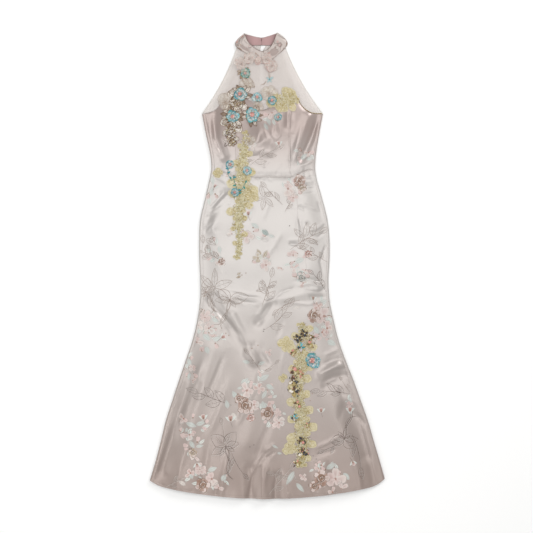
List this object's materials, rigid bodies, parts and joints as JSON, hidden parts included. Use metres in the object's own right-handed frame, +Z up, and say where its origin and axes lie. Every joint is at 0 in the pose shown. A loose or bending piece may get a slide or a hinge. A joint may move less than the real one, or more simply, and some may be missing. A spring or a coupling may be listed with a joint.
{
  "type": "wedding dress",
  "caption": "Floor-length halter wedding dress of printed satin with a sheer yoke, stand collar, lace and fabric flowers, laid flat on its back.",
  "frame": {"origin": "middle of the laid dress's outline, on the surface under it", "axes": "+Z up from the surface, out of the dress's front; +Y along its length towards the collar; +X across it, to a viewer's right with the collar away"},
  "size_m": [0.7572, 1.5012, 0.0425],
  "materials": {
    "satin": "printed duchess satin, soft sheen",
    "sheer": "fine sheer mesh",
    "lining": "plain mauve lining satin",
    "gold_lace": "corded gold lace",
    "bronze_lace": "bronze cord and sequin lace",
    "turquoise_flower": "beaded fabric petals with a pink pearl centre",
    "green_flower": "beaded fabric petals",
    "pink_flower": "pale organza petals",
    "coral_stone": "polished coral stone",
    "jet_stone": "polished dark stone"
  },
  "bodies": {
    "root": {"skirt_front_center": "satin", "skirt_front_left": "satin", "skirt_front_right": "satin", "bodice_front_center": "satin", "bodice_front_left": "satin", "bodice_front_right": "satin", "skirt_back_left": "satin", "skirt_back_right": "satin", "bodice_back_left": "satin", "bodice_back_right": "satin", "yoke_front": "sheer", "yoke_back_left": "sheer", "yoke_back_right": "sheer", "collar": "satin", "collar_lining_left": "lining", "collar_lining_right": "lining", "lace_bust_right": "gold_lace", "lace_bust_left": "bronze_lace", "lace_cascade_left": "gold_lace", "lace_column_skirt": "gold_lace", "bust_flower_1": "turquoise_flower", "bust_flower_2": "turquoise_flower", "bust_flower_3": "turquoise_flower", "bust_flower_4": "turquoise_flower", "bust_flower_5": "turquoise_flower", "bust_flower_6": "turquoise_flower", "yoke_flower": "green_flower", "waist_flower_1": "turquoise_flower", "waist_flower_2": "turquoise_flower", "hip_flower": "turquoise_flower", "skirt_flower": "turquoise_flower", "collar_flower_1": "pink_flower", "collar_flower_2": "pink_flower", "collar_flower_3": "pink_flower", "collar_flower_4": "pink_flower", "collar_rosebud": "pink_flower", "stone_1": "jet_stone", "stone_2": "jet_stone", "stone_3": "coral_stone", "stone_4": "coral_stone", "stone_5": "jet_stone"}
  },
  "joints": []
}
